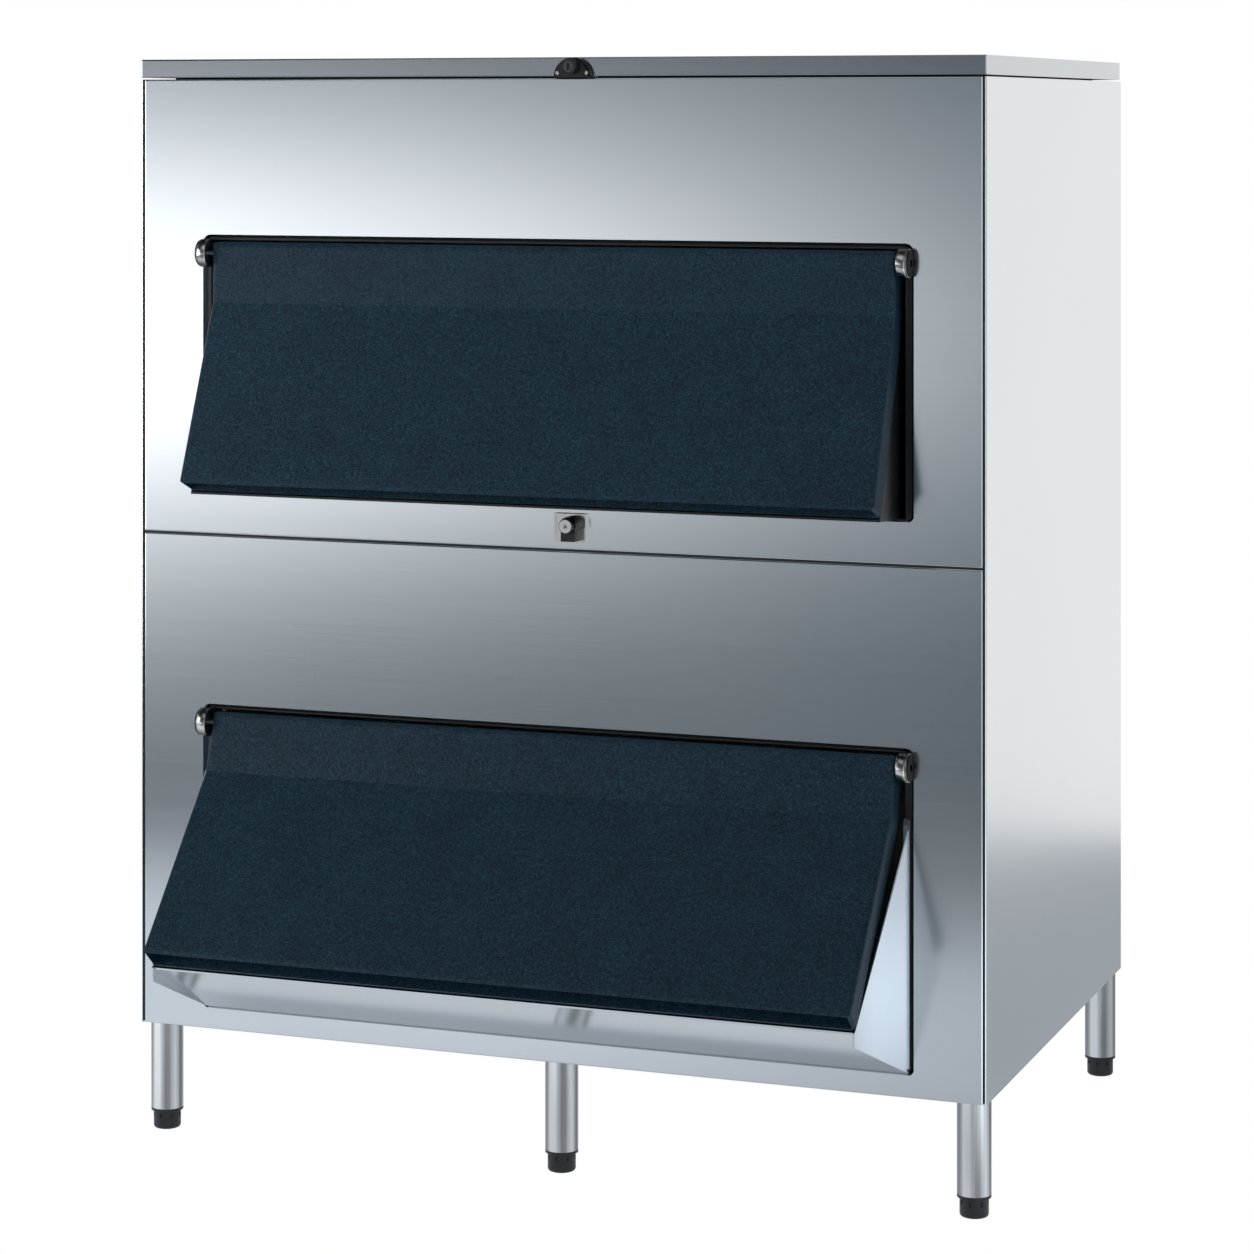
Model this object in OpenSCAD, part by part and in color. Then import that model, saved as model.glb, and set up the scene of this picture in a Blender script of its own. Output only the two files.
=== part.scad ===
// Insulated ice storage bin: steel cabinet on six levelling legs, two top-hinged hopper doors and a hinged lid.
// Millimetres. +X to the right, +Y to the back, +Z up. The origin is on the floor, at the middle of the outline.

/* [Cabinet] */
// Width of the cabinet
cab_w = 1250; // [1180:10:1350]
// Depth of the cabinet from the front panel to the back panel
cab_d = 810; // [740:10:880]
// Height of the cabinet from its underside to the top of the lid
cab_h = 1384; // [1364:5:1444]
// Height of the lid's folded edge
lip_h = 26; // [26:1:32]

/* [Doors] */
// Width of both openings in the front
open_w = 1052; // [940:4:1068]
// Height of the upper opening
upper_open_h = 370; // [350:2:376]
// Height of the lower opening
lower_open_h = 434; // [424:2:440]
// Angle of the bend in both doors
bend = 22.5; // [18:0.5:24]
// Lean of the closed lower door on its hopper
lean = 18.5; // [14:0.5:20]
// Thickness of both doors
door_t = 38; // [36:1:40]

/* [Legs] */
// Height of the cabinet's underside above the floor
leg_h = 156; // [140:2:180]
// Diameter of the leg tubes
leg_dia = 46; // [44:1:50]
// Diameter of the levelling feet
foot_dia = 39; // [34:1:40]

/* [Hidden] */
$fn = 64;
steel = [0.74, 0.75, 0.76];
navy = [0.10, 0.18, 0.25];
black = [0.06, 0.06, 0.07];
white = [0.88, 0.89, 0.87];
foam = [0.92, 0.86, 0.66];

// Section of the doors in [forward and back, up and down] from the hinge axis
band_h = 70;
upper_leaf = (upper_open_h - 26 - band_h - 27.6) / cos(bend);
lower_leaf = (lower_open_h - 24 - 130 + 6 * sin(lean) - band_h * cos(lean)) / cos(bend + lean);
function turn(p, a) = [p[0] * cos(a) + p[1] * sin(a), p[1] * cos(a) - p[0] * sin(a)];
function leaf(t, s) = [t * cos(bend) - 6 - s * sin(bend), -band_h - t * sin(bend) - s * cos(bend)];
function elbow(t) = [t - 6, -band_h - t * tan(bend / 2)];
function arc(cy, cz, r, a, b, n) = [for (i = [0:n]) [cy + r * cos(a + (b - a) * i / n), cz + r * sin(a + (b - a) * i / n)]];

// Main planes
hinge_fwd = 10;
reach = hinge_fwd + 7 - turn(leaf(7, lower_leaf - 7), lean)[0];
fy = (reach - cab_d) / 2;
by = fy + cab_d;
hw = cab_w / 2;
zb = leg_h;
zt = leg_h + cab_h;
zlid = zt - lip_h;
zr = zlid - 2.5;
zseam = zb + 706;
ow = open_w / 2;
zu0 = zb + 764;
zu1 = zu0 + upper_open_h;
zl0 = zb + 30;
zl1 = zl0 + lower_open_h;
hy = fy - hinge_fwd;
zhu = zu1 - 26;
zhl = zl1 - 24;
dw = ow - 21.5;
skin = 2;
foam_t = 55;
liner_t = 3;
wall = skin + foam_t + liner_t;
floor_z = zb + 32;
lid_by = by - 9;
lid_axis_y = by - 5;
lid_axis_z = zr + 4.5;
lock_x = 43;
lock_z = zlid + 13;
plock_z = zseam + 37;
drain_y = by - 230;
legs_x = [-(hw - 25), 12, hw - 25];
legs_y = [fy + 32, by - 32];

module blk(x0, x1, y0, y1, z0, z1) {
    translate([x0, y0, z0])
        cube([x1 - x0, y1 - y0, z1 - z0]);
}
module rod_x(x0, x1, r, y, z) {
    translate([x0, y, z])
        rotate([0, 90, 0])
            cylinder(h = x1 - x0, r = r);
}
module rod_y(y0, y1, r, x, z) {
    translate([x, y0, z])
        rotate([-90, 0, 0])
            cylinder(h = y1 - y0, r = r);
}
module rod_z(z0, z1, r, x, y) {
    translate([x, y, z0])
        cylinder(h = z1 - z0, r = r);
}
module prism(x0, x1, pts) {
    translate([x0, 0, 0])
        rotate([90, 0, 90])
            linear_extrude(height = x1 - x0)
                polygon(pts);
}
module both() {
    children();
    mirror([1, 0, 0])
        children();
}
module at_legs() {
    for (x = legs_x)
        for (y = legs_y)
            translate([x, y, 0])
                children();
}

// Window with rounded corners, in the plane of the front
module window(w, z0, z1, y0, y1, r) {
    q = 8;
    translate([0, y1, 0])
        rotate([90, 0, 0])
            linear_extrude(height = y1 - y0)
                union() {
                    translate([-w, z0 + q])
                        square([2 * w, z1 - z0 - r - q]);
                    translate([r - w, z0])
                        square([2 * w - 2 * r, z1 - z0]);
                    for (x = [r - w, w - r])
                        translate([x, z1 - r])
                            circle(r = r);
                    for (x = [q - w, w - q])
                        translate([x, z0 + q])
                            circle(r = q);
                }
}

// Cutters that round an outer edge: upright at a front corner, or level along a front edge
module round_upright(x, z0, z1, r) {
    translate([0, 0, z0])
        linear_extrude(height = z1 - z0)
            polygon(concat(arc(x - r, fy + r, r, -90, 0, 6), [[x + 1, fy + r], [x + 1, fy - 1], [x - r, fy - 1]]));
}
module round_top(x1, z, r) {
    prism(-x1 - 1, x1 + 1, concat(arc(fy + r, z - r, r, 180, 90, 6), [[fy + r, z + 1], [fy - 1, z + 1], [fy - 1, z - r]]));
}
module round_bottom(x1, z, r) {
    prism(-x1 - 1, x1 + 1, concat(arc(fy + r, z + r, r, 180, 270, 6), [[fy + r, z - 1], [fy - 1, z - 1], [fy - 1, z + r]]));
}

// Outer sheets
module side_sheet() {
    difference() {
        blk(hw - skin, hw, fy, by, zb, zr);
        round_upright(hw, zb - 1, zr + 1, skin);
    }
}
module side_panel_left() {
    color(steel)
        mirror([1, 0, 0])
            side_sheet();
}
module side_panel_right() {
    color(steel)
        side_sheet();
}
module back_panel() {
    color(steel)
        blk(-(hw - skin), hw - skin, by - skin, by, zb, zr);
}
module base_pan() {
    color(steel)
        difference() {
            blk(-(hw - skin), hw - skin, fy + skin, by - skin, zb, zb + 2);
            at_legs()
                rod_z(zb - 1, zb + 3, 6.2, 0, 0);
            rod_z(zb - 1, zb + 3, 16.2, 0, drain_y);
        }
}
// Sloped steel edge around an opening, cut back around the hinge barrels
module bevel(w, z0, z1, za) {
    r = 12;
    difference() {
        union() {
            both() {
                translate([0, 0, z0 + 8])
                    linear_extrude(height = z1 - z0 - r - 8)
                        polygon([[w - 4, fy + 4], [w, fy], [w, fy + 4]]);
                translate([w - r, fy, z1 - r])
                    rotate([-90, 0, 0])
                        rotate([0, 0, -90])
                            rotate_extrude(angle = 90)
                                polygon([[r, 0], [r, 4], [r - 4, 4]]);
            }
            prism(r - w, w - r, [[fy, z1], [fy + 4, z1], [fy + 4, z1 - 4]]);
            prism(8 - w, w - 8, [[fy, z0], [fy + 1.6, z0], [fy + 1.6, z0 + 1.6]]);
        }
        both()
            rod_x(w - 18, w - 0.3, 20.6, hy, za);
    }
}
module front_sheet(z0, z1, w0, w1, za) {
    difference() {
        blk(-(hw - 5), hw - 5, fy, fy + skin, z0, z1);
        window(ow, w0, w1, fy - 1, fy + skin + 1, 12);
        both()
            round_upright(hw - 5, z0 - 1, z1 + 1, skin);
        round_top(hw, z1, skin);
        round_bottom(hw, z0, skin);
    }
    bevel(ow, w0, w1, za);
}
module upper_front_panel() {
    color(steel)
        difference() {
            front_sheet(zseam + 1.2, zr, zu0, zu1, zhu);
            rod_y(fy - 1, fy + 3, 12.3, lock_x, plock_z);
        }
}
module lower_front_panel() {
    color(steel)
        front_sheet(zb, zseam - 1.2, zl0, zl1, zhl);
}
module joint_strips() {
    color(black) {
        both()
            blk(hw - 5, hw - skin, fy + 1.6, fy + 16, zb + 2, zr - 3);
        blk(-(hw - 5), hw - 5, fy + 1.4, fy + skin, zseam - 1.2, zseam + 1.2);
    }
}
module top_rim() {
    color(black)
        difference() {
            blk(-(hw - skin), hw - skin, fy + skin, by - skin, zr - 3, zr);
            blk(-(hw - wall), hw - wall, fy + wall, by - wall, zr - 4, zr + 1);
        }
}

// Inner liner, one sheet for each wall
module liner_side() {
    blk(hw - wall, hw - wall + liner_t, fy + wall, by - wall, floor_z, zr - 3);
}
module liner_sides() {
    color(white)
        both()
            liner_side();
}
module liner_back() {
    color(white)
        blk(-(hw - wall + liner_t), hw - wall + liner_t, by - wall, by - wall + liner_t, floor_z, zr - 3);
}
module liner_floor() {
    color(white)
        difference() {
            blk(-(hw - wall + liner_t), hw - wall + liner_t, fy + wall, by - wall + liner_t, floor_z - 3, floor_z);
            rod_z(floor_z - 4, floor_z + 1, 16.2, 0, drain_y);
        }
}
module liner_front() {
    color(white)
        difference() {
            blk(-(hw - wall + liner_t), hw - wall + liner_t, fy + wall - liner_t, fy + wall, floor_z, zr - 3);
            blk(-(ow - 4.3), ow - 4.3, fy + wall - 4, fy + wall + 1, zu0 + 0.3, zu1 - 4.3);
            blk(-(ow - 4.3), ow - 4.3, fy + wall - 4, fy + wall + 1, floor_z - 1, zl1 - 4.3);
        }
}

// Foam between the sheets
module foam_side() {
    blk(hw - wall + liner_t, hw - skin, fy + wall - liner_t, by - wall + liner_t, floor_z - 3, zr - 3);
}
module insulation_sides() {
    color(foam)
        both()
            foam_side();
}
module insulation_back() {
    color(foam)
        difference() {
            blk(-(hw - skin), hw - skin, by - wall + liner_t, by - skin, zb + 2, zr - 3);
            blk(-(hw - 14), hw - 14, by - 50, by - 14, zb + 1, zb + 27);
        }
}
module insulation_floor() {
    color(foam)
        difference() {
            blk(-(hw - skin), hw - skin, fy + wall - liner_t, by - wall + liner_t, zb + 2, floor_z - 3);
            rod_z(zb, floor_z, 16.2, 0, drain_y);
        }
}
module insulation_front() {
    color(foam)
        difference() {
            union() {
                blk(-(hw - 5), hw - 5, fy + skin, fy + 16, zb + 2, zr - 3);
                blk(-(hw - skin), hw - skin, fy + 16, fy + wall - liner_t, zb + 2, zr - 3);
            }
            window(ow, zu0, zu1, fy, fy + wall, 12);
            blk(-ow, ow, fy, fy + wall, zu0, zu0 + 10);
            window(ow, zl0, zl1, fy, fy + wall, 12);
            blk(-ow, ow, fy, fy + wall, floor_z - 3, zl0 + 10);
            blk(-(hw - 14), hw - 14, fy + 16, fy + 50, zb + 1, zb + 28.5);
            blk(lock_x - 46, lock_x + 46, fy + 1, fy + 30, zseam - 12, zu0 - 4);
        }
}

// Box rails above the base pan that carry the legs
module rail(y0, y1) {
    difference() {
        blk(-(hw - 14), hw - 14, y0, y1, zb + 2, zb + 27);
        blk(-(hw - 15), hw - 15, y0 + 2.5, y1 - 2.5, zb + 4.5, zb + 24.5);
    }
}
module base_rails() {
    color(steel)
        difference() {
            union() {
                rail(fy + 16, fy + 50);
                rail(by - 50, by - 14);
            }
            at_legs()
                rod_z(zb, zb + 6, 6.2, 0, 0);
        }
}

// Black frames through the front wall
module throat(z0, z1, top, bottom, za) {
    difference() {
        window(ow - 4.3, z0 + 0.3, z1 - 4.3, fy + 2.5, fy + wall, 9);
        blk(-(ow - 12), ow - 12, fy, fy + wall + 1, z0 + bottom, z1 - top);
        both()
            blk(ow - 8, ow, fy, fy + 4.5, z0 - 1, z1 + 1);
        both()
            rod_x(ow - 17.5, ow + 0.1, 20.5, hy, za);
        blk(-ow, ow, fy, fy + 4.2, z0, z0 + 4.2);
        both()
            for (dz = [-9, 9])
                rod_x(ow - 17, ow - 6, 2.5, fy + 37, za + dz);
    }
}
module upper_throat() {
    color(black)
        throat(zu0, zu1, 7.5, 3, zhu);
}
module lower_throat() {
    color(black)
        throat(zl0, zl1, 6, 2, zhl);
}

// Black chute of the upper opening
sill_end = turn(leaf(door_t, upper_leaf), 0);
module upper_sill() {
    color(black)
        prism(-(ow - 26), ow - 26, [
            [fy + wall, zu0 + 3], [fy + wall, zu0 + 6], [fy, zu0 + 6],
            [hy + sill_end[0] + 0.8, zhu + sill_end[1] - 1.8], [hy + sill_end[0] + 0.8, zhu + sill_end[1] - 4.8], [fy, zu0 + 3]
        ]);
}
upper_elbow = elbow(door_t + 1.8);
upper_low = leaf(door_t + 1.8, upper_leaf);
module upper_cheeks() {
    color(black)
        both()
            difference() {
                prism(ow - 26, ow - 12, [
                    [fy + wall, zu0 + 3], [fy + wall, zhu - 60], [hy + upper_elbow[0], zhu - 60], [hy + upper_elbow[0], zhu + upper_elbow[1]],
                    [hy + upper_low[0], zhu + upper_low[1]], [hy + sill_end[0] + 0.8, zhu + sill_end[1] - 4.8], [fy, zu0 + 3]
                ]);
                blk(ow - 23, ow - 9, hy - 200, fy + wall - 3, zu0 - 9, zhu);
            }
}

// Steel hopper of the lower opening
hop_top = turn(leaf(door_t + 1.8, lower_leaf), lean);
hop_elbow = turn(elbow(door_t + 1.8), lean);
hop_band = turn([door_t - 4.2, -62], lean);
hop_nose = hop_top[0] - 2.6;
hop_out = hy + hop_nose;
module hopper_plan(x0, x1, step_y, z0, z1) {
    translate([0, 0, z0])
        linear_extrude(height = z1 - z0)
            polygon([[x0, fy + wall], [x0, hop_out - 4], [x1 - 17, hop_out - 4], [x1 - 17, hop_out],
                [x1, fy - 0.5], [x1, step_y], [x1 - 6.5, step_y], [x1 - 6.5, fy + wall]]);
}
module hopper_apron() {
    color(steel)
        intersection() {
            prism(-(ow - 8), ow - 8, [
                [fy + wall, floor_z], [fy + wall, floor_z + 2.5], [fy, floor_z + 2.5],
                [hy + hop_top[0] + 1.5, zhl + hop_top[1] - 1.8], [hy + hop_top[0] + 1.5, zhl + hop_top[1] - 4.6], [fy - 1, floor_z]
            ]);
            both()
                hopper_plan(-1, ow - 8, fy - 0.5, floor_z - 1, zhl);
        }
}
module hopper_cheek() {
    intersection() {
        prism(ow - 40, ow - 5, [
            [fy + wall, floor_z], [fy + wall, zhl + hop_band[1]], [hy + hop_band[0], zhl + hop_band[1]], [hy + hop_elbow[0], zhl + hop_elbow[1]],
            [hy + hop_top[0], zhl + hop_top[1]], [hop_out, zhl + hop_top[1] - 1.6],
            [hop_out, zhl + hop_top[1] - 20], [fy, floor_z]
        ]);
        difference() {
            hopper_plan(ow - 40, ow - 5.5, fy + 2, floor_z - 1, zhl);
            hopper_plan(ow - 41, ow - 8, fy - 0.5, floor_z - 2, zhl + 1);
        }
    }
}
module hopper_cheeks() {
    color(steel)
        both()
            hopper_cheek();
}

// Hinge brackets: a barrel for the door pin and a lug screwed to the frame
module bracket(za) {
    difference() {
        union() {
            rod_x(ow - 17, ow - 5, 20, hy, za);
            rod_x(ow - 5, ow - 3.4, 17.8, hy, za);
            rod_x(ow - 3.4, ow - 2.4, 19.5, hy, za);
            blk(ow - 17, ow - 12, hy, fy + 45, za - 16, za + 16);
        }
        rod_x(ow - 18, ow, 4.06, hy, za);
        rod_x(ow - 4.7, ow, 13, hy, za);
        for (dz = [-9, 9])
            rod_x(ow - 18, ow - 9, 2.5, fy + 37, za + dz);
    }
}
module hinge_brackets() {
    color(steel)
        both()
            for (za = [zhu, zhl])
                bracket(za);
}
module hinge_end_caps() {
    color(black)
        both()
            for (za = [zhu, zhl])
                difference() {
                    union() {
                        rod_x(ow - 4.7, ow - 2.4, 13, hy, za);
                        rod_x(ow - 2.4, ow - 0.8, 18.2, hy, za);
                    }
                    translate([ow - 2.8, hy, za])
                        rotate([0, 90, 0])
                            cylinder(h = 3, r = 6, $fn = 6);
                }
}
module hinge_screws() {
    color(steel)
        both()
            for (za = [zhu, zhl])
                for (dz = [-9, 9]) {
                    rod_x(ow - 17.2, ow - 6, 2.5, fy + 37, za + dz);
                    rod_x(ow - 20, ow - 17, 4.8, fy + 37, za + dz);
                }
}

// Doors: a blue shell with a grip channel underneath, a foam core and a back plate
module leaf_place() {
    translate([0, -6, -band_h])
        rotate([-bend, 0, 0])
            children();
}
module edge_cutter(z0, z1, r) {
    translate([0, 0, z0])
        linear_extrude(height = z1 - z0)
            polygon(concat(arc(dw - r, r, r, -90, 0, 6), [[dw + 1, r], [dw + 1, -1], [dw - r, -1]]));
}
module corner_cutter(z, sign, r) {
    translate([0, door_t + 20, z])
        rotate([90, 0, 0])
            linear_extrude(height = door_t + 50)
                polygon(concat([for (a = [90:-18:0]) [dw - r + r * cos(a), sign * r * sin(a)]],
                    [[dw + 1, 0], [dw + 1, sign * (r + 1)], [dw - r, sign * (r + 1)]]));
}
module rounding(len) {
    r = 6.5;
    q = 7.5;
    lap = 0.3;
    miter = [[-26, -band_h + 20 * tan(bend / 2)], [door_t + 14, -band_h - (door_t + 20) * tan(bend / 2)]];
    both() {
        intersection() {
            translate([0, -6, 0])
                edge_cutter(-band_h - 12, 17, r);
            translate([0, 0, -lap])
                prism(0, dw + 2, concat(miter, [[door_t + 14, 60], [-26, 60]]));
        }
        intersection() {
            leaf_place()
                edge_cutter(-len - 1, 12, r);
            translate([0, 0, lap])
                prism(0, dw + 2, [miter[0], miter[1], [door_t + 14, -500], [-400, -500], [-400, miter[0][1]]]);
        }
        corner_cutter(16 - q, 1, q);
        leaf_place()
            corner_cutter(q - len, -1, q);
    }
}
module shell_form(len) {
    t = door_t;
    difference() {
        prism(-dw, dw, concat(arc(4, 6, 10, 180, 90, 8), arc(t - 16, 6, 10, 90, 0, 8),
            [elbow(t), leaf(t, len)], [for (a = [0:18:90]) leaf(7 - 7 * sin(a), len - 7 + 7 * cos(a))], [elbow(0)]));
        difference() {
            prism(-(dw - 4), dw - 4, concat(arc(4, 6, 6, 180, 90, 5), arc(t - 16, 6, 6, 90, 0, 5),
                [[t - 5, 6], elbow(t + 1), leaf(t + 1, len - 31), leaf(4, len - 31), elbow(4)]));
            both()
                rod_x(dw - 28, dw - 3, 9, 0, 0);
        }
        prism(-(dw - 4), dw - 4, [leaf(4, len - 27), leaf(t - 4, len - 27), leaf(t - 4, len + 1), leaf(4, len + 1)]);
        both()
            rod_x(dw - 26, dw + 1, 4, 0, 0);
        rounding(len);
    }
}
module core_form(len) {
    t = door_t;
    difference() {
        prism(-(dw - 4), dw - 4, concat(arc(4, 6, 6, 180, 90, 5), arc(t - 16, 6, 6, 90, 0, 5),
            [[t - 9.1, 6], elbow(t - 3.1), leaf(t - 3.1, len - 31.1), leaf(4.1, len - 31.1), elbow(4.1)]));
        both()
            rod_x(dw - 28, dw, 9, 0, 0);
    }
}
module plate_form(len) {
    t = door_t;
    prism(-(dw - 4), dw - 4, [[t - 9, 6], [t - 6, 6], elbow(t), leaf(t, len - 31.1), leaf(t - 3, len - 31.1), elbow(t - 3)]);
}
module pins_form() {
    both()
        rod_x(dw - 26, ow - 5, 4, 0, 0);
}
module upper_place() {
    translate([0, hy, zhu])
        children();
}
module lower_place() {
    translate([0, hy, zhl])
        rotate([-lean, 0, 0])
            children();
}
module upper_door_shell() {
    color(navy)
        upper_place()
            shell_form(upper_leaf);
}
module upper_door_core() {
    color(foam)
        upper_place()
            core_form(upper_leaf);
}
module upper_door_back() {
    color(black)
        upper_place()
            plate_form(upper_leaf);
}
module upper_door_pins() {
    color(steel)
        upper_place()
            pins_form();
}
module lower_door_shell() {
    color(navy)
        lower_place()
            shell_form(lower_leaf);
}
module lower_door_core() {
    color(foam)
        lower_place()
            core_form(lower_leaf);
}
module lower_door_back() {
    color(black)
        lower_place()
            plate_form(lower_leaf);
}
module lower_door_pins() {
    color(steel)
        lower_place()
            pins_form();
}

// Lid
module lid_shell() {
    color(steel)
        difference() {
            blk(-hw, hw, fy, lid_by, zlid, zt);
            blk(-(hw - 1.5), hw - 1.5, fy + 1.5, lid_by - 1.5, zlid - 1, zt - 1.5);
            rod_y(fy - 1, fy + 3, 11, lock_x, lock_z);
            both()
                round_upright(hw, zlid - 1, zt + 1, 1.5);
            round_top(hw, zt, 2);
            round_bottom(hw, zlid, 1.4);
        }
}
module lid_core() {
    color(foam)
        difference() {
            blk(-(hw - 1.5), hw - 1.5, fy + 1.5, lid_by - 1.5, zlid + 3, zt - 1.5);
            blk(lock_x - 34, lock_x + 34, fy, fy + 38, zlid, zt - 1.5);
        }
}
module lid_liner() {
    color(white)
        difference() {
            blk(-(hw - 1.5), hw - 1.5, fy + 1.5, lid_by - 1.5, zlid, zlid + 3);
            blk(lock_x - 34, lock_x + 34, fy, fy + 38, zlid - 1, zt);
        }
}
module lid_gasket() {
    color(black)
        difference() {
            blk(-(hw - 34), hw - 34, fy + 41, by - 46, zr + 0.3, zlid);
            blk(-(hw - 48), hw - 48, fy + 55, by - 60, zr - 1, zlid + 1);
        }
}
hinge_x = [-460, 0, 460];
module lid_hinge_fixed() {
    color(steel)
        for (x = hinge_x)
            translate([x, 0, 0])
                difference() {
                    union() {
                        blk(-40, 40, lid_axis_y - 36, lid_axis_y - 4.6, zr, zr + 1.2);
                        both() {
                            blk(16, 40, lid_axis_y - 5, lid_axis_y, zr, zr + 1.2);
                            rod_x(16, 40, 4, lid_axis_y, lid_axis_z);
                        }
                    }
                    rod_x(-41, 41, 2, lid_axis_y, lid_axis_z);
                }
}
module lid_hinge_moving() {
    color(steel)
        for (x = hinge_x)
            translate([x, 0, 0])
                difference() {
                    union() {
                        blk(-40, 40, lid_by, lid_by + 1.2, lid_axis_z + 4.6, zt - 3);
                        blk(-15.5, 15.5, lid_by, lid_by + 1.2, lid_axis_z, lid_axis_z + 5);
                        rod_x(-15.5, 15.5, 4, lid_axis_y, lid_axis_z);
                    }
                    rod_x(-16, 16, 2.05, lid_axis_y, lid_axis_z);
                }
}
module lid_hinge_pins() {
    color(steel)
        for (x = hinge_x)
            rod_x(x - 40, x + 40, 2, lid_axis_y, lid_axis_z);
}

// Lock on the lid's front edge
module half_moon(y0, y1, r) {
    translate([0, y1, zlid - 2])
        rotate([90, 0, 0])
            linear_extrude(height = y1 - y0)
                intersection() {
                    circle(r = r);
                    translate([-r, 0])
                        square([2 * r, r]);
                }
}
module lid_lock_housing() {
    color(black)
        translate([lock_x, 0, 0])
            difference() {
                union() {
                    half_moon(fy - 8, fy, 27.5);
                    half_moon(fy - 14, fy - 7.9, 24.5);
                    rod_y(fy - 24, fy + 20, 11, 0, lock_z);
                }
                rod_y(fy - 25, fy + 21, 8.05, 0, lock_z);
                both() {
                    rod_y(fy - 12, fy + 1, 1.8, 21, zlid + 4);
                    rod_y(fy - 15, fy - 8, 3.4, 21, zlid + 4);
                }
            }
}
module lid_lock_screws() {
    color(steel)
        translate([lock_x, 0, 0])
            both() {
                rod_y(fy - 8.1, fy, 1.8, 21, zlid + 4);
                rod_y(fy - 10, fy - 8, 2.8, 21, zlid + 4);
            }
}
module lid_lock_plug() {
    color(steel)
        translate([lock_x, 0, 0])
            difference() {
                union() {
                    rod_y(fy - 23.6, fy + 20.4, 8, 0, lock_z);
                    rod_y(fy + 20.3, fy + 26, 4.6, 0, lock_z);
                    blk(-4, 4, fy + 23.5, fy + 26.5, lock_z - 12.5, lock_z);
                }
                blk(-1, 1, fy - 24, fy - 17, lock_z - 4.5, lock_z + 4.5);
            }
}
module lid_lock_keeper() {
    color(steel)
        translate([lock_x, 0, 0]) {
            blk(7.5, 24, fy + 28.5, fy + 31, zr, lock_z + 7.3);
            blk(7.5, 24, fy + 22.5, fy + 28.6, lock_z + 4.8, lock_z + 7.3);
        }
}

// Lock on the upper front panel
module panel_lock_plate() {
    color(steel)
        translate([lock_x, 0, plock_z])
            difference() {
                blk(-27, 19, fy - 7, fy, -25, 14.5);
                blk(-24.5, 16.5, fy - 8, fy - 5.5, -22.5, 12);
                rod_y(fy - 8, fy + 1, 12, 0, 0);
            }
}
module panel_lock_housing() {
    color(black)
        translate([lock_x, 0, plock_z])
            difference() {
                union() {
                    rod_y(fy - 26, fy + 12, 12, 0, 0);
                    rod_y(fy - 34, fy - 25, 10, 0, 0);
                    blk(-10.5, 10.5, fy - 24, fy - 5.5, -22, -6);
                }
                rod_y(fy - 35, fy + 13, 9.05, 0, 0);
            }
}
module panel_lock_plug() {
    color(steel)
        translate([lock_x, 0, plock_z])
            difference() {
                union() {
                    rod_y(fy - 34.6, fy + 12.4, 9, 0, 0);
                    rod_y(fy + 12.3, fy + 21, 5, 0, 0);
                    blk(0, 40, fy + 17.5, fy + 20.5, -6, 6);
                }
                translate([0, fy - 35, 0])
                    rotate([0, 45, 0])
                        blk(-2.4, 2.4, 0, 8, -2.4, 2.4);
            }
}

// Drain
module drain_fitting() {
    color(black)
        difference() {
            union() {
                rod_z(zb - 60, zb - 9, 15, 0, drain_y);
                rod_z(zb - 10, floor_z + 0.1, 16, 0, drain_y);
                rod_z(floor_z, floor_z + 3, 30, 0, drain_y);
            }
            rod_z(zb - 61, floor_z + 4, 13, 0, drain_y);
        }
}
module drain_locknut() {
    color(black)
        difference() {
            translate([0, drain_y, zb - 10])
                cylinder(h = 10, r = 26, $fn = 6);
            rod_z(zb - 11, zb + 1, 16, 0, drain_y);
        }
}
module drain_strainer() {
    color(steel)
        difference() {
            rod_z(floor_z + 3, floor_z + 4.5, 28, 0, drain_y);
            for (a = [0:45:315])
                translate([8 * cos(a), 8 * sin(a) + drain_y, 0])
                    rod_z(floor_z + 2, floor_z + 6, 2, 0, 0);
        }
}

// Legs
module leg_tubes() {
    color(steel)
        at_legs()
            difference() {
                rod_z(30, zb, leg_dia / 2, 0, 0);
                rod_z(29, zb - 4, leg_dia / 2 - 2, 0, 0);
                rod_z(zb - 5, zb + 1, 6.2, 0, 0);
            }
}
module leg_bolts() {
    color(steel)
        at_legs() {
            rod_z(zb - 4.1, zb + 16, 6, 0, 0);
            for (z = [zb - 12.5, zb + 4.5])
                translate([0, 0, z])
                    rotate([0, 0, 30])
                        cylinder(h = 8.5, r = 11, $fn = 6);
        }
}
module leg_inserts() {
    color(black)
        at_legs()
            difference() {
                union() {
                    rod_z(26, 30, leg_dia / 2, 0, 0);
                    rod_z(29.9, 56, leg_dia / 2 - 2, 0, 0);
                }
                rod_z(25, 57, 8.08, 0, 0);
            }
}
module foot(i, j) {
    color(black)
        translate([legs_x[i], legs_y[j], 0])
            difference() {
                rotate_extrude()
                    polygon(concat([[0, 0]], arc(foot_dia / 2 - 4, 4, 4, -90, 0, 6),
                        [[foot_dia / 2, 25.7], [8, 25.7], [8, 100], [0, 100]]));
                for (a = [0:45:315])
                    rotate([0, 0, a])
                        blk(foot_dia / 2 - 1.6, foot_dia / 2 + 1, -1.5, 1.5, 17, 23);
            }
}
module foot_front_left() {
    foot(0, 0);
}
module foot_front_middle() {
    foot(1, 0);
}
module foot_front_right() {
    foot(2, 0);
}
module foot_rear_left() {
    foot(0, 1);
}
module foot_rear_middle() {
    foot(1, 1);
}
module foot_rear_right() {
    foot(2, 1);
}

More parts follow.
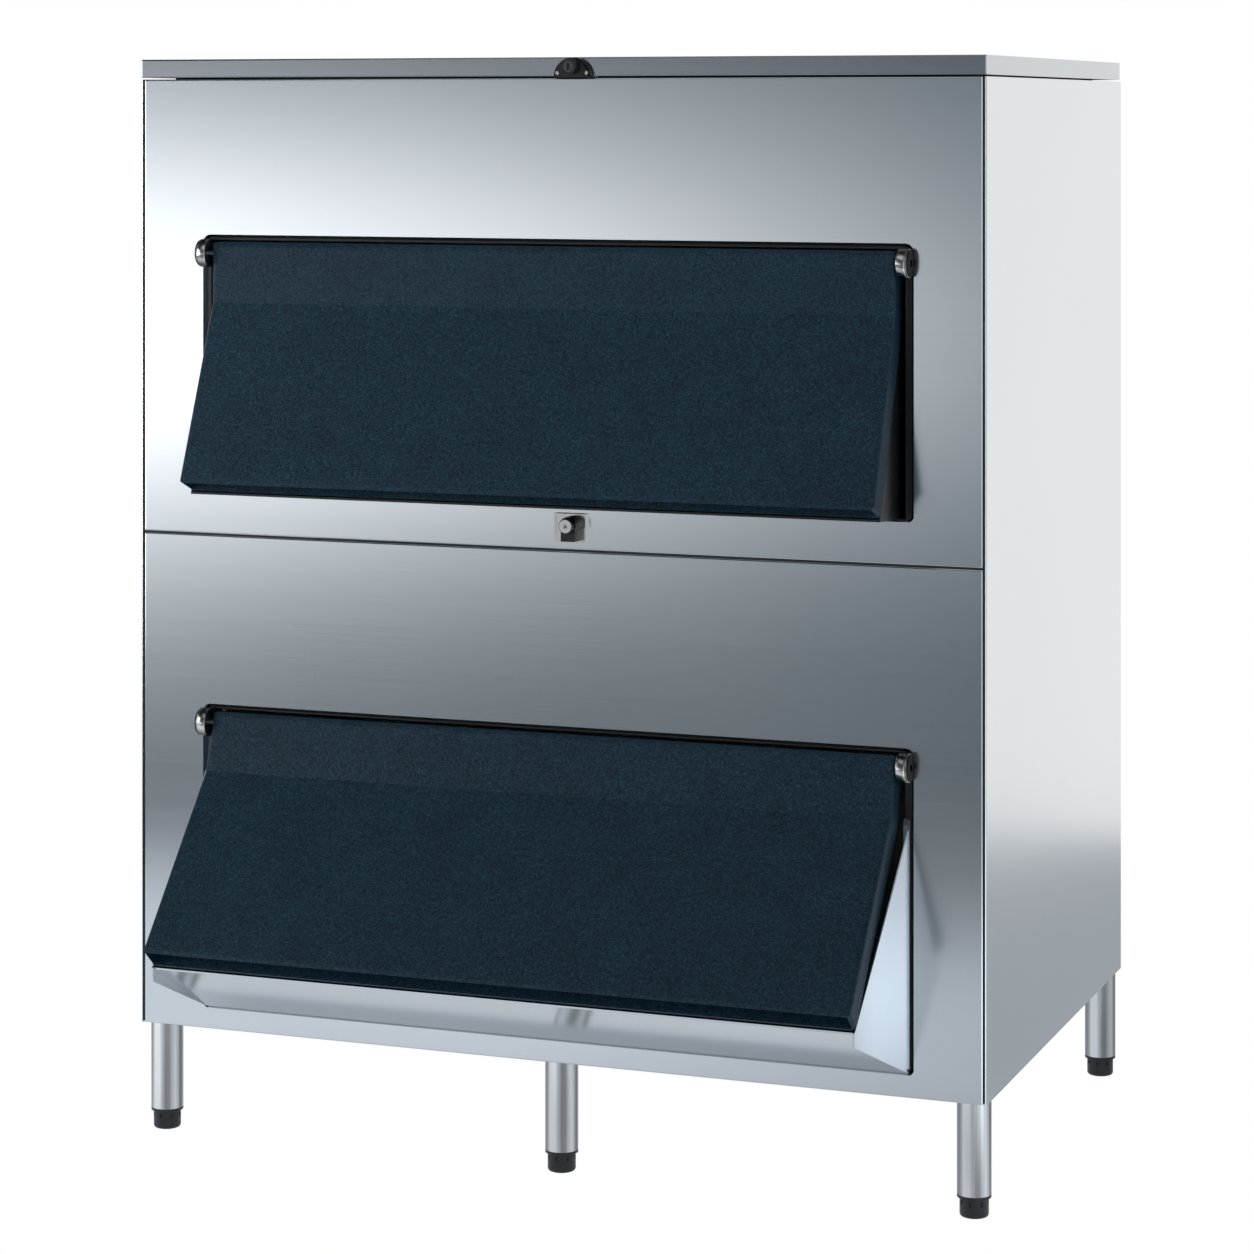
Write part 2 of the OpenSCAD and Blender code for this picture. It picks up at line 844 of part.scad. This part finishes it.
side_panel_left();
side_panel_right();
back_panel();
base_pan();
upper_front_panel();
lower_front_panel();
joint_strips();
top_rim();
liner_sides();
liner_back();
liner_floor();
liner_front();
insulation_sides();
insulation_back();
insulation_floor();
insulation_front();
base_rails();
upper_throat();
lower_throat();
upper_sill();
upper_cheeks();
hopper_apron();
hopper_cheeks();
hinge_brackets();
hinge_end_caps();
hinge_screws();
upper_door_shell();
upper_door_core();
upper_door_back();
upper_door_pins();
lower_door_shell();
lower_door_core();
lower_door_back();
lower_door_pins();
lid_shell();
lid_core();
lid_liner();
lid_gasket();
lid_hinge_fixed();
lid_hinge_moving();
lid_hinge_pins();
lid_lock_housing();
lid_lock_screws();
lid_lock_plug();
lid_lock_keeper();
panel_lock_plate();
panel_lock_housing();
panel_lock_plug();
drain_fitting();
drain_locknut();
drain_strainer();
leg_tubes();
leg_bolts();
leg_inserts();
foot_front_left();
foot_front_middle();
foot_front_right();
foot_rear_left();
foot_rear_middle();
foot_rear_right();
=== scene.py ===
import math
import bpy
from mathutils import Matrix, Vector


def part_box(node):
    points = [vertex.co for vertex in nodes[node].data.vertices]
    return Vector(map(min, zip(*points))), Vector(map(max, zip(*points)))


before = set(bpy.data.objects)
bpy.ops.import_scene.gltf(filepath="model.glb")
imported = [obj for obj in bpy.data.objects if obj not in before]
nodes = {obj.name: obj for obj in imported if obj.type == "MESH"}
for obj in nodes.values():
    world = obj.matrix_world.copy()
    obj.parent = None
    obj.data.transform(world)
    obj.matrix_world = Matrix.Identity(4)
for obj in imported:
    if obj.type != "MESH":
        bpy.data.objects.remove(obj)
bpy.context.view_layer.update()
scene = bpy.context.scene
scene.view_settings.view_transform = "Standard"

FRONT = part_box("upper_front_panel")[0][1]

# Most of a noise texture's values lie between these two
NOISE_LOW, NOISE_HIGH = 0.3, 0.7
SHEET_STEEL = (0.60, 0.63, 0.66)
SHEET_ROUGH_ACROSS, SHEET_ROUGH_UPRIGHT = 0.155, 0.25
# Scales of the brushed grain along X, Y and Z
ALONG_X = (3, 900, 900)
ALONG_Z = (900, 900, 3)
EVEN_GRAIN = (500, 500, 500)
TURNED_GRAIN = (60, 900, 900)
DRAWN_GRAIN = (700, 700, 8)

# Camera in metres and degrees. The lens shift keeps the uprights parallel.
CAMERA_RIGHT, CAMERA_AHEAD, CAMERA_HEIGHT, CAMERA_TURN = 1.8141, 4.5546, 1.460, 20.4
LENS, LENS_SHIFT = 102.15, -0.408

# Brightness of the studio walls by direction in degrees, from the front (-Y) round to the right
WALLS = [
    (-170, 0.7), (-125, 0.30), (-80, 0.30), (-60, 0.19), (0, 0.17), (14, 0.35), (27, 1.7),
    (40, 1.1), (60, 0.45), (90, 1.3), (112, 0.45), (128, 0.5), (148, 1.17), (172, 1.15),
]
# Softbox at the front left: brightness, directions of its right and left end in radians, and its height
BOX_LEVEL = 3.3
BOX_RIGHT, BOX_RIGHT_FADE = -0.5585, 0.168
BOX_LEFT, BOX_LEFT_FADE = 1.05, 0.2
BOX_Z, BOX_TALL = -0.060, 0.0312

FLOOR_RADIUS, FLOOR_X, FLOOR_Y, FLOOR_Z = 2.6, 0.1, -0.2, -0.0005


# Node helpers
def new_material(name):
    mat = bpy.data.materials.new(name)
    mat.use_nodes = True
    tree = mat.node_tree
    return mat, tree.nodes, tree.links, tree.nodes["Principled BSDF"]


def coords(nt, links, scale=(1, 1, 1)):
    tex = nt.new("ShaderNodeTexCoord")
    mapping = nt.new("ShaderNodeMapping")
    mapping.inputs["Scale"].default_value = scale
    links.new(tex.outputs["Object"], mapping.inputs["Vector"])
    return mapping.outputs["Vector"]


def axes(nt, links, output):
    """X, Y and Z of one output of the texture coordinates."""
    tex = nt.new("ShaderNodeTexCoord")
    sep = nt.new("ShaderNodeSeparateXYZ")
    links.new(tex.outputs[output], sep.inputs["Vector"])
    return sep.outputs


def noise(nt, links, vector, scale, detail=3.0, rough=0.5):
    n = nt.new("ShaderNodeTexNoise")
    n.inputs["Scale"].default_value = scale
    n.inputs["Detail"].default_value = detail
    n.inputs["Roughness"].default_value = rough
    links.new(vector, n.inputs["Vector"])
    return n.outputs["Fac"]


def cells(nt, links, vector, scale, smoothness):
    n = nt.new("ShaderNodeTexVoronoi")
    n.feature = "SMOOTH_F1"
    n.inputs["Scale"].default_value = scale
    n.inputs["Smoothness"].default_value = smoothness
    links.new(vector, n.inputs["Vector"])
    return n.outputs["Distance"]


def remap(nt, links, value, lo, hi, a=0.0, b=1.0):
    """Map a to lo and b to hi."""
    m = nt.new("ShaderNodeMapRange")
    m.inputs["From Min"].default_value = a
    m.inputs["From Max"].default_value = b
    m.inputs["To Min"].default_value = lo
    m.inputs["To Max"].default_value = hi
    links.new(value, m.inputs["Value"])
    return m.outputs["Result"]


def vary(nt, links, fac, middle, spread):
    """A value that a noise moves up and down by the spread."""
    return remap(nt, links, fac, middle - spread, middle + spread, NOISE_LOW, NOISE_HIGH)


def ramp(nt, links, value, stops):
    r = nt.new("ShaderNodeValToRGB")
    while len(r.color_ramp.elements) < len(stops):
        r.color_ramp.elements.new(0.5)
    for e, (p, c) in zip(r.color_ramp.elements, stops):
        e.position = p
        e.color = (*c, 1)
    links.new(value, r.inputs["Fac"])
    return r.outputs["Color"]


def tint(nt, links, fac, low, high):
    """A colour that a noise moves between two shades."""
    return ramp(nt, links, fac, [(NOISE_LOW, low), (NOISE_HIGH, high)])


def shades(base, share):
    """One shade darker and one lighter than the base, by a share of it."""
    return tuple(c * (1 - share) for c in base), tuple(min(1.0, c * (1 + share)) for c in base)


def math_node(nt, links, op, *values):
    m = nt.new("ShaderNodeMath")
    m.operation = op
    for k, v in enumerate(values):
        if isinstance(v, (int, float)):
            m.inputs[k].default_value = v
        else:
            links.new(v, m.inputs[k])
    return m.outputs["Value"]


def azimuth_of(nt, links, sep):
    """Direction round the upright axis: 0 to the front, growing to the right."""
    return math_node(nt, links, "ARCTAN2", sep["X"], math_node(nt, links, "MULTIPLY", sep["Y"], -1.0))


def circle_stops(nt, links, angle, stops):
    value = remap(nt, links, angle, 0.0, 1.0, -math.pi, math.pi)
    r = nt.new("ShaderNodeValToRGB")
    r.color_ramp.interpolation = "EASE"
    while len(r.color_ramp.elements) < len(stops):
        r.color_ramp.elements.new(0.5)
    for e, (deg, v) in zip(r.color_ramp.elements, stops):
        e.position = (deg + 180) / 360
        e.color = (v, v, v, 1)
    links.new(value, r.inputs["Fac"])
    return r.outputs["Color"]


def bump(nt, links, height, strength, distance, bsdf):
    b = nt.new("ShaderNodeBump")
    b.inputs["Strength"].default_value = strength
    b.inputs["Distance"].default_value = distance
    links.new(height, b.inputs["Height"])
    links.new(b.outputs["Normal"], bsdf.inputs["Normal"])


# Materials
def steel(name, base, rough, grain, streak=0.014):
    """Satin stainless: grain is the scale of the streaks along X, Y and Z."""
    mat, nt, links, bsdf = new_material(name)
    bsdf.inputs["Metallic"].default_value = 1.0
    fine = noise(nt, links, coords(nt, links, grain), 1.0, 4.0, 0.6)
    broad = noise(nt, links, coords(nt, links), 1.6, 2.0)
    links.new(tint(nt, links, fine, *shades(base, streak)), bsdf.inputs["Base Color"])
    streaks = vary(nt, links, fine, rough, 0.01)
    patches = vary(nt, links, broad, 0.0, 0.008)
    links.new(math_node(nt, links, "ADD", streaks, patches), bsdf.inputs["Roughness"])
    bump(nt, links, fine, 0.03, 0.000004, bsdf)
    return mat


def worked_steel(nt, links, bsdf, painted_reflection_and_grain, fine, stops, rough, rough_spread):
    """What turned and drawn steel share: a tone between two colours, which is painted reflection with
    some grain in it, and a fine grain.
    """
    bsdf.inputs["Metallic"].default_value = 1.0
    links.new(ramp(nt, links, painted_reflection_and_grain, stops), bsdf.inputs["Base Color"])
    links.new(vary(nt, links, fine, rough, rough_spread), bsdf.inputs["Roughness"])
    bump(nt, links, fine, 0.05, 0.000006, bsdf)


def turned_painted_reflection(name, bright, dark, rough, axis, low, high):
    """Polished turned steel with a painted reflection: painted darker where the surface turns away
    along one axis.
    """
    mat, nt, links, bsdf = new_material(name)
    away = math_node(nt, links, "ABSOLUTE", axes(nt, links, "Normal")[axis])
    fine = noise(nt, links, coords(nt, links, TURNED_GRAIN), 1.0, 4.0, 0.6)
    # painted reflection: darker as the surface faces along the axis
    shade = remap(nt, links, away, 0.0, 1.0, low, high)
    painted_reflection_and_grain = math_node(nt, links, "ADD", shade, vary(nt, links, fine, 0.0, 0.06))
    worked_steel(nt, links, bsdf, painted_reflection_and_grain, fine, [(0.05, bright), (0.95, dark)], rough, 0.05)
    return mat


def banded_painted_reflection(name, bright, dark, rough, stops):
    """Drawn tube: painted reflection in darker and lighter bands round its upright axis."""
    mat, nt, links, bsdf = new_material(name)
    angle = azimuth_of(nt, links, axes(nt, links, "Normal"))
    fine = noise(nt, links, coords(nt, links, DRAWN_GRAIN), 1.0, 4.0, 0.6)
    painted_bands = circle_stops(nt, links, angle, stops)
    painted_reflection_and_grain = math_node(nt, links, "ADD", painted_bands, vary(nt, links, fine, 0.0, 0.03))
    worked_steel(nt, links, bsdf, painted_reflection_and_grain, fine, [(0.0, dark), (1.0, bright)], rough, 0.03)
    return mat


def plastic(name, base, rough, grain_scale, grain_depth, mottle=0.12, spec=0.5):
    mat, nt, links, bsdf = new_material(name)
    bsdf.inputs["Specular IOR Level"].default_value = spec
    vec = coords(nt, links)
    broad = noise(nt, links, vec, 9.0, 4.0)
    links.new(tint(nt, links, broad, *shades(base, mottle)), bsdf.inputs["Base Color"])
    links.new(vary(nt, links, noise(nt, links, vec, 60.0), rough, 0.06), bsdf.inputs["Roughness"])
    bump(nt, links, cells(nt, links, vec, grain_scale, 0.6), 0.6, grain_depth, bsdf)
    return mat


def door_plastic():
    """Dark blue moulded skin with a leather-like grain."""
    mat, nt, links, bsdf = new_material("door_skin")
    vec = coords(nt, links)
    pebbles = cells(nt, links, vec, 320.0, 0.5)
    warp = noise(nt, links, vec, 700.0, 3.0, 0.6)
    mottled = noise(nt, links, vec, 14.0, 5.0, 0.6)
    color = tint(nt, links, mottled, (0.0085, 0.028, 0.046), (0.0115, 0.036, 0.058))
    # paler on the tops of the grain, and speckled
    grainy = math_node(nt, links, "MULTIPLY_ADD", noise(nt, links, vec, 230.0, 2.0, 0.5), 1.6, pebbles)
    specks = remap(nt, links, noise(nt, links, vec, 520.0, 1.0, 0.5), 0.60, 1.85, 0.42, 0.68)
    pits = math_node(nt, links, "MULTIPLY", remap(nt, links, grainy, 0.50, 1.40, 0.75, 1.5), specks)
    scale = nt.new("ShaderNodeVectorMath")
    scale.operation = "SCALE"
    links.new(color, scale.inputs[0])
    links.new(pits, scale.inputs["Scale"])
    links.new(scale.outputs["Vector"], bsdf.inputs["Base Color"])
    links.new(vary(nt, links, warp, 0.52, 0.10), bsdf.inputs["Roughness"])
    bsdf.inputs["Specular IOR Level"].default_value = 0.22
    bump(nt, links, math_node(nt, links, "MULTIPLY_ADD", warp, 0.5, pebbles), 0.75, 0.0006, bsdf)
    return mat


def foam():
    mat, nt, links, bsdf = new_material("foam")
    n = noise(nt, links, coords(nt, links), 220.0, 4.0, 0.7)
    links.new(tint(nt, links, n, (0.55, 0.44, 0.21), (0.80, 0.70, 0.42)), bsdf.inputs["Base Color"])
    bsdf.inputs["Roughness"].default_value = 0.9
    bump(nt, links, n, 0.5, 0.001, bsdf)
    return mat


# Painted reflection on the leg tubes: brightness by direction in degrees
TUBE_PAINTED_REFLECTION = [
    (-180, 0.5), (-90, 0.40), (-48, 0.30), (-36, 0.50), (-22, 1.0), (-3, 1.0), (12, 0.60), (22, 0.33),
    (33, 0.36), (45, 0.72), (58, 0.95), (68, 0.70), (80, 0.25), (110, 0.5), (179, 0.5),
]
looks = {
    "sheet_across": steel("sheet_across", SHEET_STEEL, SHEET_ROUGH_ACROSS, ALONG_X),
    # lid: the same sheet steel painted darker, as painted shade for the lid's front
    "lid": steel("lid", (0.40, 0.42, 0.45), SHEET_ROUGH_ACROSS, ALONG_X),
    "sheet_upright": steel("sheet_upright", SHEET_STEEL, SHEET_ROUGH_UPRIGHT, ALONG_Z),
    "tube": banded_painted_reflection("tube", (0.80, 0.81, 0.82), (0.02, 0.02, 0.022), 0.22, TUBE_PAINTED_REFLECTION),
    # dark steel: on the lid lock plug the dark stands in for a painted reflection of dark surroundings
    "dark_steel": steel("dark_steel", (0.10, 0.10, 0.11), 0.30, EVEN_GRAIN, streak=0.10),
    # hinge barrels: steel with a painted reflection, bright in the middle and dark above and below
    "machined": turned_painted_reflection("machined", (0.62, 0.60, 0.58), (0.10, 0.10, 0.10), 0.24, "Z", 0.25, 0.80),
    "cap": plastic("cap", (0.006, 0.006, 0.007), 0.45, 300.0, 0.00005, spec=0.06),
    "lock": steel("lock", (0.62, 0.61, 0.59), 0.25, EVEN_GRAIN, streak=0.08),
    "door": door_plastic(),
    "black": plastic("black", (0.010, 0.010, 0.012), 0.42, 500.0, 0.0002),
    "glossy_black": plastic("glossy_black", (0.008, 0.008, 0.009), 0.28, 300.0, 0.00005),
    "white": plastic("white", (0.74, 0.75, 0.73), 0.35, 120.0, 0.0001, mottle=0.03),
    "foam": foam(),
    "rubber": plastic("rubber", (0.012, 0.012, 0.013), 0.7, 700.0, 0.0002),
    "foot": plastic("foot", (0.012, 0.014, 0.017), 0.38, 600.0, 0.0002),
}
groups = {
    "sheet_across": "upper_front_panel lower_front_panel hopper_apron base_pan base_rails",
    "lid": "lid_shell",
    "sheet_upright": "side_panel_left side_panel_right back_panel hopper_cheeks",
    "tube": "leg_tubes",
    "machined": "hinge_brackets lid_hinge_fixed lid_hinge_moving",
    "dark_steel": "upper_door_pins lower_door_pins lid_lock_plug",
    "lock": "hinge_screws lid_hinge_pins lid_lock_screws lid_lock_keeper "
            "panel_lock_plate panel_lock_plug drain_strainer leg_bolts",
    "door": "upper_door_shell lower_door_shell",
    "black": "upper_throat lower_throat upper_sill upper_cheeks upper_door_back lower_door_back "
             "top_rim drain_fitting drain_locknut",
    "glossy_black": "lid_lock_housing panel_lock_housing",
    "cap": "hinge_end_caps",
    "white": "liner_sides liner_back liner_floor liner_front lid_liner",
    "foam": "insulation_sides insulation_back insulation_floor insulation_front "
            "upper_door_core lower_door_core lid_core",
    "rubber": "joint_strips lid_gasket",
    "foot": "leg_inserts foot_front_left foot_front_middle foot_front_right "
            "foot_rear_left foot_rear_middle foot_rear_right",
}
for look, names in groups.items():
    for n in names.split():
        obj = nodes[n]
        obj.data.materials.clear()
        obj.data.materials.append(looks[look])


# Softened edges, in metres and degrees
def soften(names, width, angle=30):
    """Small rounded edges on CAD pieces."""
    for name in names.split():
        weld = nodes[name].modifiers.new("weld", "WELD")
        weld.merge_threshold = 0.00001
        b = nodes[name].modifiers.new("edges", "BEVEL")
        b.width = width
        b.segments = 2
        b.limit_method = "ANGLE"
        b.angle_limit = math.radians(angle)
        b.harden_normals = True


soften("upper_door_shell lower_door_shell", 0.0008, 50)
soften("side_panel_left side_panel_right upper_front_panel lower_front_panel", 0.0005)
soften("lid_shell hopper_cheeks hopper_apron", 0.0005)
soften("hinge_brackets lid_lock_housing panel_lock_housing hinge_end_caps", 0.0008)

# Camera at the photo's angle
cam_data = bpy.data.cameras.new("camera")
cam = bpy.data.objects.new("camera", cam_data)
scene.collection.objects.link(cam)
scene.camera = cam
cam_data.sensor_width = 36.0
cam_data.lens = LENS
cam_data.shift_y = LENS_SHIFT
cam_data.clip_end = 50
cam.location = (CAMERA_RIGHT, FRONT - CAMERA_AHEAD, CAMERA_HEIGHT)
cam.rotation_euler = (math.radians(90), 0, math.radians(CAMERA_TURN))


# Lights
def card(name, loc, target, size, strength):
    light = bpy.data.lights.new(name, "AREA")
    light.shape = "RECTANGLE"
    light.size, light.size_y = size
    light.energy = strength
    obj = bpy.data.objects.new(name, light)
    scene.collection.objects.link(obj)
    obj.location = loc
    obj.rotation_euler = (Vector(target) - Vector(loc)).to_track_quat("-Z", "Y").to_euler()


card("overhead", (-0.4, -2.2, 3.8), (0, 0, 0.8), (2.5, 2.0), 12)
card("left_key", (-2.7, -2.0, 1.2), (0, -0.3, 0.8), (1.0, 1.8), 30)
card("right_fill", (3.6, -2.4, 1.7), (0, 0, 0.7), (1.2, 2.4), 5)


# Studio walls as the steel sees them
def make_world():
    world = bpy.data.worlds.new("studio")
    scene.world = world
    world.use_nodes = True
    nt, links = world.node_tree.nodes, world.node_tree.links
    nt.clear()

    def calc(op, *values):
        return math_node(nt, links, op, *values)

    def beyond(value, start, width):
        """How many widths a value is past the start, squared."""
        past = calc("DIVIDE", calc("MAXIMUM", calc("SUBTRACT", value, start), 0.0), width)
        return calc("MULTIPLY", past, past)

    sep = axes(nt, links, "Generated")
    azimuth = azimuth_of(nt, links, sep)
    # a softbox at the front left, which fades to both sides, above and below
    right = beyond(azimuth, BOX_RIGHT, BOX_RIGHT_FADE)
    left = beyond(calc("MULTIPLY", azimuth, -1.0), BOX_LEFT, BOX_LEFT_FADE)
    upright = calc("DIVIDE", calc("SUBTRACT", sep["Z"], BOX_Z), BOX_TALL)
    spread = calc("ADD", calc("ADD", right, left), calc("MULTIPLY", upright, upright))
    box = calc("MULTIPLY", calc("EXPONENT", calc("MULTIPLY", spread, -0.5)), BOX_LEVEL)
    # the room is dark above
    above = remap(nt, links, sep["Z"], 1.0, 0.22, 0.05, 0.45)
    walls = calc("MULTIPLY", circle_stops(nt, links, azimuth, WALLS), above)
    level = calc("ADD", walls, box)
    # bluish where it is dim, neutral where it is bright
    dim_to_bright = [(0.15, (0.74, 0.88, 1.0)), (0.7, (0.90, 0.955, 1.0)), (1.0, (0.99, 0.99, 0.985))]
    ambient = nt.new("ShaderNodeBackground")
    links.new(ramp(nt, links, level, dim_to_bright), ambient.inputs["Color"])
    links.new(level, ambient.inputs["Strength"])
    # plain white behind the part
    white = nt.new("ShaderNodeBackground")
    white.inputs["Color"].default_value = (1, 1, 1, 1)
    path = nt.new("ShaderNodeLightPath")
    mix = nt.new("ShaderNodeMixShader")
    links.new(path.outputs["Is Camera Ray"], mix.inputs["Fac"])
    links.new(ambient.outputs["Background"], mix.inputs[1])
    links.new(white.outputs["Background"], mix.inputs[2])
    links.new(mix.outputs["Shader"], nt.new("ShaderNodeOutputWorld").inputs["Surface"])


def mix_values(nt, links, factor, a, b):
    m = nt.new("ShaderNodeMix")
    links.new(factor, m.inputs["Factor"])
    if isinstance(a, float):
        m.inputs["A"].default_value = a
    else:
        links.new(a, m.inputs["A"])
    links.new(b, m.inputs["B"])
    return m.outputs["Result"]


def floor_glow(nt, links):
    """How bright the steel sees the pale floor, in the floor's own X and Y."""
    sep = axes(nt, links, "Object")

    def along(axis, lo, hi, a, b):
        return remap(nt, links, sep[axis], lo, hi, a, b)

    near = along("Y", 0.27, 1.0, -2.1, -1.3)
    back = along("Y", 1.0, 0.52, -0.3, 0.5)
    # more even behind the front within the cabinet's width, for the underside of the hopper
    from_middle = math_node(nt, links, "ABSOLUTE", math_node(nt, links, "ADD", sep["X"], FLOOR_X))
    under = remap(nt, links, from_middle, 1.0, 0.0, 0.60, 0.70)
    back = mix_values(nt, links, under, back, along("Y", 1.0, 0.74, -0.7, -0.35))
    # towards the right, only in front of the cabinet
    dip = along("X", 1.0, 0.71, -0.4, 0.35)
    rise = along("X", 1.0, 3.6, 0.6, 0.95)
    sideways = math_node(nt, links, "MULTIPLY", dip, rise)
    sideways = mix_values(nt, links, along("Y", 1.0, 0.0, -0.4, -0.1), 1.0, sideways)
    return math_node(nt, links, "MULTIPLY", math_node(nt, links, "MULTIPLY", near, back), sideways)


def make_floor():
    """Pale floor: plain white to the camera, and the glow of a studio floor to the steel."""
    bpy.ops.mesh.primitive_circle_add(
        vertices=64, radius=FLOOR_RADIUS, fill_type="NGON", location=(FLOOR_X, FLOOR_Y, FLOOR_Z))
    floor = bpy.context.object
    floor.name = "floor"
    mat, nt, links, bsdf = new_material("floor")
    pale = noise(nt, links, coords(nt, links), 2.0)
    links.new(tint(nt, links, pale, (0.58, 0.60, 0.62), (0.64, 0.66, 0.68)), bsdf.inputs["Base Color"])
    bsdf.inputs["Roughness"].default_value = 0.7
    in_steel = nt.new("ShaderNodeEmission")
    in_steel.inputs["Color"].default_value = (0.89, 0.945, 1.0, 1)
    links.new(floor_glow(nt, links), in_steel.inputs["Strength"])
    to_camera = nt.new("ShaderNodeEmission")
    to_camera.inputs["Strength"].default_value = 1.0
    path = nt.new("ShaderNodeLightPath")
    seen = bsdf.outputs["BSDF"]
    for ray, glow in (("Is Glossy Ray", in_steel), ("Is Camera Ray", to_camera)):
        mix = nt.new("ShaderNodeMixShader")
        links.new(path.outputs[ray], mix.inputs["Fac"])
        links.new(seen, mix.inputs[1])
        links.new(glow.outputs["Emission"], mix.inputs[2])
        seen = mix.outputs["Shader"]
    links.new(seen, nt["Material Output"].inputs["Surface"])
    floor.data.materials.append(mat)
    return floor


make_world()
floor = make_floor()
